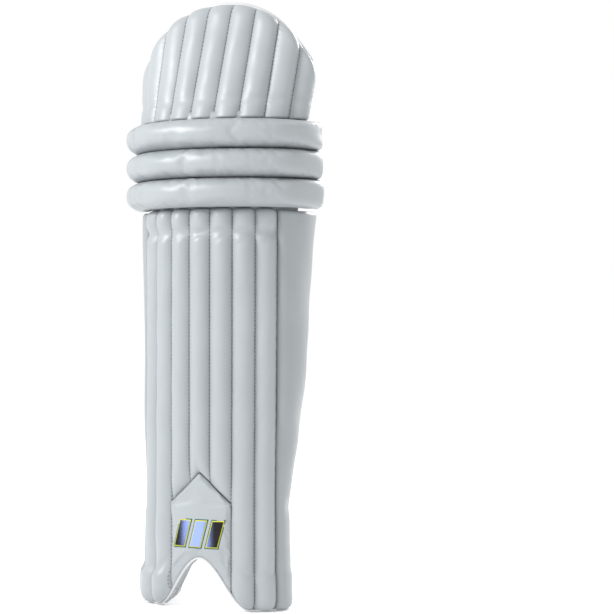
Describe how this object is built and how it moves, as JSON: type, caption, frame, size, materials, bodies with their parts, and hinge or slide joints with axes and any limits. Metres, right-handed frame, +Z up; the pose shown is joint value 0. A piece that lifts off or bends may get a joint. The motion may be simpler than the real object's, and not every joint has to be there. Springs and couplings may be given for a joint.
{
  "type": "cricket leg pad",
  "caption": "Padded batting leg guard with vertical cane rolls, horizontal knee rolls that bend, side wings, a thigh flap and wrap-round straps.",
  "frame": {"origin": "centre of the base, on the surface that the pad stands on", "axes": "+Z up the shin, -Y out of the batting face, the leg enters from +Y"},
  "size_m": [0.2332, 0.1394, 0.674],
  "materials": {
    "outer_vinyl": "smooth synthetic leather, satin",
    "cane": "split cane rod, dry",
    "stiff_board": "pressed fibre board",
    "smooth_lining": "smooth synthetic lining, matt",
    "mesh_fabric": "knitted spacer mesh with small holes",
    "foam": "open foam",
    "printed_badge": "moulded flexible badge, dark",
    "webbing": "ribbed woven elastic webbing",
    "hook_tape": "hook and loop tape",
    "black_plastic": "moulded nylon"
  },
  "bodies": {
    "shin": {"shin_roll_1": "outer_vinyl", "shin_roll_2": "outer_vinyl", "shin_roll_3": "outer_vinyl", "shin_roll_4": "outer_vinyl", "shin_roll_5": "outer_vinyl", "shin_roll_6": "outer_vinyl", "shin_roll_7": "outer_vinyl", "shin_canes": "cane", "shin_backing": "stiff_board", "shin_lining": "smooth_lining", "instep_panel": "outer_vinyl", "instep_emblem": "printed_badge", "centre_pad": "smooth_lining", "right_bolster_cover": "mesh_fabric", "right_bolster_core": "foam", "left_bolster_cover": "mesh_fabric", "left_bolster_core": "foam", "outer_foot_wing": "outer_vinyl", "inner_foot_wing": "outer_vinyl", "outer_side_lining": "smooth_lining", "calf_strap_anchor": "webbing", "ankle_strap_anchor": "webbing"},
    "knee_lower": {"knee_roll_1": "outer_vinyl"},
    "knee_middle": {"knee_roll_2": "outer_vinyl", "knee_backing": "stiff_board", "knee_pad_right": "mesh_fabric", "knee_pad_left": "mesh_fabric", "knee_pad_centre": "smooth_lining", "knee_side_right": "smooth_lining", "knee_side_left": "smooth_lining", "knee_strap_anchor": "webbing", "knee_loop_patch": "hook_tape"},
    "knee_upper": {"knee_roll_3": "outer_vinyl"},
    "thigh": {"thigh_roll_1": "outer_vinyl", "thigh_roll_2": "outer_vinyl", "thigh_roll_3": "outer_vinyl", "thigh_roll_4": "outer_vinyl", "thigh_roll_5": "outer_vinyl", "thigh_roll_6": "outer_vinyl", "thigh_roll_7": "outer_vinyl", "thigh_roll_8": "outer_vinyl", "thigh_roll_9": "outer_vinyl", "thigh_backing": "stiff_board", "thigh_inner_pad": "smooth_lining", "thigh_binding": "outer_vinyl"},
    "outer_wing": {"outer_wing": "outer_vinyl"},
    "inner_wing": {"inner_wing": "outer_vinyl", "inner_wing_lining": "smooth_lining", "calf_loop_patch": "hook_tape", "ankle_loop_patch": "hook_tape"},
    "knee_locator": {"knee_locator": "mesh_fabric", "locator_badge": "printed_badge"},
    "knee_strap": {"knee_strap": "webbing"},
    "knee_tab": {"knee_tab": "hook_tape"},
    "calf_strap": {"calf_strap": "webbing"},
    "calf_ring": {"calf_ring": "black_plastic"},
    "calf_tab": {"calf_tab": "hook_tape"},
    "ankle_strap": {"ankle_strap": "webbing"},
    "ankle_tab": {"ankle_tab": "hook_tape"},
    "ankle_slider": {"ankle_slider": "black_plastic"}
  },
  "joints": [
    {"name": "knee_bend", "type": "hinge", "parent": "shin", "child": "knee_lower", "pos_m": [0, 0.03533, 0.44025], "axis": [-1, 0, 0], "range_deg": [0, 4.5], "stiffness_Nm_per_rad": 4, "springref_deg": -20.05},
    {"name": "knee_crease_1", "type": "hinge", "parent": "knee_lower", "child": "knee_middle", "pos_m": [0, 0.03533, 0.472], "axis": [-1, 0, 0], "range_deg": [0, 4.5], "stiffness_Nm_per_rad": 4, "springref_deg": -20.05},
    {"name": "knee_crease_2", "type": "hinge", "parent": "knee_middle", "child": "knee_upper", "pos_m": [0, 0.03533, 0.504], "axis": [-1, 0, 0], "range_deg": [0, 4.5], "stiffness_Nm_per_rad": 4, "springref_deg": -20.05},
    {"name": "thigh_crease", "type": "hinge", "parent": "knee_upper", "child": "thigh", "pos_m": [0, 0.03533, 0.5365], "axis": [-1, 0, 0], "range_deg": [0, 4.5], "stiffness_Nm_per_rad": 4, "springref_deg": -20.05},
    {"name": "outer_wing_flex", "type": "hinge", "parent": "shin", "child": "outer_wing", "pos_m": [0.08436, -0.01682, 0.268], "axis": [-0.0021, -0.0029, -1], "range_deg": [0, 18], "stiffness_Nm_per_rad": 1.2, "springref_deg": -17.19},
    {"name": "inner_wing_flex", "type": "hinge", "parent": "shin", "child": "inner_wing", "pos_m": [-0.07452, -0.01219, 0.268], "axis": [0.0062, -0.0117, -0.9999], "range_deg": [0, 10], "stiffness_Nm_per_rad": 1.2, "springref_deg": -17.19},
    {"name": "knee_strap_swing", "type": "hinge", "parent": "knee_middle", "child": "knee_strap", "pos_m": [0.07404, 0.04972, 0.459], "axis": [0, 0, -1], "range_deg": [0, 100]},
    {"name": "knee_tab_peel", "type": "hinge", "parent": "knee_strap", "child": "knee_tab", "pos_m": [-0.09075, 0.05943, 0.459], "axis": [0, 0, -1], "range_deg": [0, 90]},
    {"name": "calf_strap_swing", "type": "hinge", "parent": "shin", "child": "calf_strap", "pos_m": [0.06539, 0.0516, 0.33], "axis": [0, 0, -1], "range_deg": [0, 100]},
    {"name": "calf_ring_swivel", "type": "hinge", "parent": "calf_strap", "child": "calf_ring", "pos_m": [-0.08005, 0.06525, 0.33], "axis": [0, 0, -1], "range_deg": [0, 25]},
    {"name": "calf_tab_peel", "type": "hinge", "parent": "calf_ring", "child": "calf_tab", "pos_m": [-0.092, 0.06637, 0.33], "axis": [0, 0, -1], "range_deg": [0, 90]},
    {"name": "ankle_strap_swing", "type": "hinge", "parent": "shin", "child": "ankle_strap", "pos_m": [0.05898, 0.01811, 0.116], "axis": [0, 0, -1], "range_deg": [0, 100]},
    {"name": "ankle_tab_peel", "type": "hinge", "parent": "ankle_strap", "child": "ankle_tab", "pos_m": [-0.07519, 0.03098, 0.116], "axis": [0, 0, -1], "range_deg": [0, 90]},
    {"name": "ankle_slider_slide", "type": "slide", "parent": "ankle_strap", "child": "ankle_slider", "axis": [0.9954, -0.0955, 0], "range_m": [-0.012, 0.03]},
    {"name": "knee_locator_slide", "type": "slide", "parent": "knee_middle", "child": "knee_locator", "axis": [0, 0, 1], "range_m": [-0.006, 0.01]}
  ],
  "couplings": [
    {"joint": "knee_crease_1", "follows": "knee_bend", "ratio": 1},
    {"joint": "knee_crease_2", "follows": "knee_bend", "ratio": 1},
    {"joint": "thigh_crease", "follows": "knee_bend", "ratio": 1}
  ]
}
